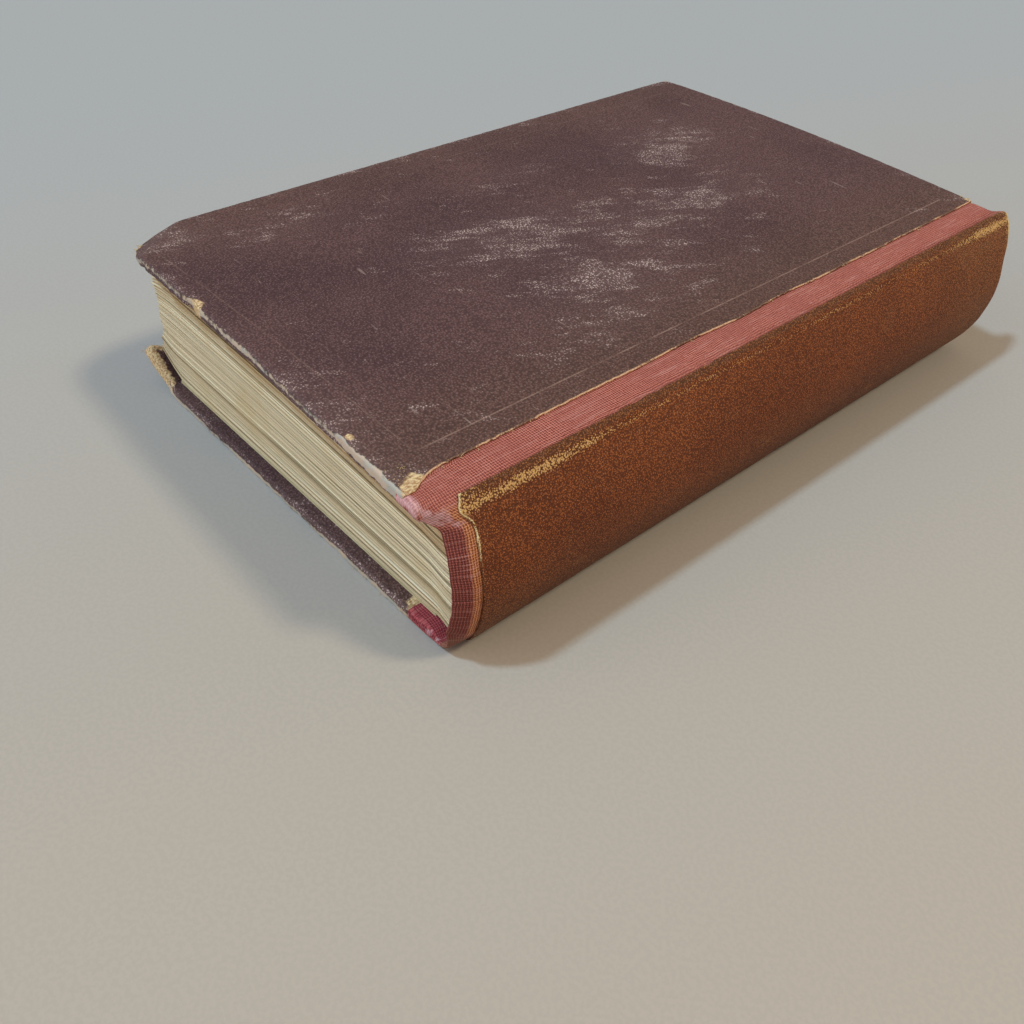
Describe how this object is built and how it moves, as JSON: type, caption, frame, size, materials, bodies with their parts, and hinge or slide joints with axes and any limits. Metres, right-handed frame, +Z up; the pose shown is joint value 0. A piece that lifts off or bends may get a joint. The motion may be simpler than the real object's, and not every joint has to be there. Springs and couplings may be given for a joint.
{
  "type": "hardback book",
  "caption": "Old cloth-bound octavo book with hinged covers, a rounded cloth spine and a racked block of worn pages, lying closed on its front cover.",
  "frame": {"origin": "centre of the book's footprint, on the surface it lies on", "axes": "+X from the fore-edge to the spine, +Y from the tail to the head, +Z up through the thickness, with the back cover on top"},
  "size_m": [0.1338, 0.1954, 0.0442],
  "materials": {
    "pages": "matte",
    "endpaper": "matte",
    "mull": "matte",
    "spine_paper": "matte",
    "repair_cloth": "matte",
    "old_spine_cloth": "satin",
    "millboard": "matte",
    "board_cloth": "satin"
  },
  "bodies": {
    "block": {"text_block": "pages", "front_flyleaf": "endpaper", "back_flyleaf": "endpaper", "spine_mull": "mull", "spine_inlay": "spine_paper", "spine_cloth": "repair_cloth", "spine_panel": "old_spine_cloth"},
    "front_cover": {"front_board": "millboard", "front_cloth": "board_cloth", "front_joint_cloth": "repair_cloth", "front_mull_flange": "mull", "front_pastedown": "endpaper"},
    "back_cover": {"back_board": "millboard", "back_cloth": "board_cloth", "back_joint_cloth": "repair_cloth", "back_mull_flange": "mull", "back_pastedown": "endpaper"}
  },
  "joints": [
    {"name": "front_cover_hinge", "type": "hinge", "parent": "block", "child": "front_cover", "pos_m": [0.0562, 0, 0.0016], "axis": [0, -1, 0], "range_deg": [0, 175]},
    {"name": "back_cover_hinge", "type": "hinge", "parent": "block", "child": "back_cover", "pos_m": [0.05785, 0, 0.0429], "axis": [0, 1, 0], "range_deg": [0, 175]}
  ]
}
